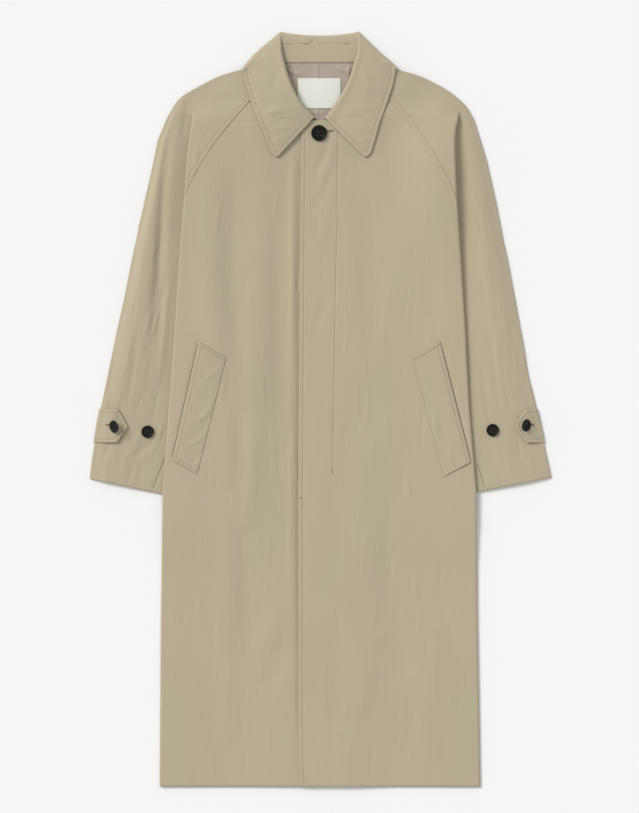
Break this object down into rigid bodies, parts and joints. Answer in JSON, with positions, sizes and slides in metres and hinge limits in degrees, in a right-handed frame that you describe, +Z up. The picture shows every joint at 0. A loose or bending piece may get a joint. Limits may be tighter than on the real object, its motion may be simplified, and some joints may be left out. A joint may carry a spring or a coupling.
{
  "type": "balmacaan coat",
  "caption": "Raglan-sleeved coat with turn-down collar, fly front, welt pockets and cuff tabs, laid flat on its back and buttoned at the neck.",
  "frame": {"origin": "middle of the coat's outline on the surface it lies on", "axes": "+X towards the viewer's right, the wearer's left; +Y from hem to collar; +Z up from the surface"},
  "size_m": [0.7397, 1.2088, 0.0228],
  "materials": {
    "shell_cloth": "matte cotton gabardine, fine weave",
    "lining": "smooth lining with a soft sheen",
    "label": "bare woven label",
    "button": "dark polished resin"
  },
  "bodies": {
    "root": {"back": "shell_cloth", "front_left": "shell_cloth", "front_right": "shell_cloth", "sleeve_front_left": "shell_cloth", "sleeve_front_right": "shell_cloth", "sleeve_back_left": "shell_cloth", "sleeve_back_right": "shell_cloth", "collar_stand": "shell_cloth", "collar_leaf": "shell_cloth", "welt_left": "shell_cloth", "welt_right": "shell_cloth", "cuff_tab_left": "shell_cloth", "cuff_tab_right": "shell_cloth", "lining": "lining", "label": "label", "button_neck": "button", "button_tab_left": "button", "button_tab_right": "button", "button_cuff_left": "button", "button_cuff_right": "button"}
  },
  "joints": []
}
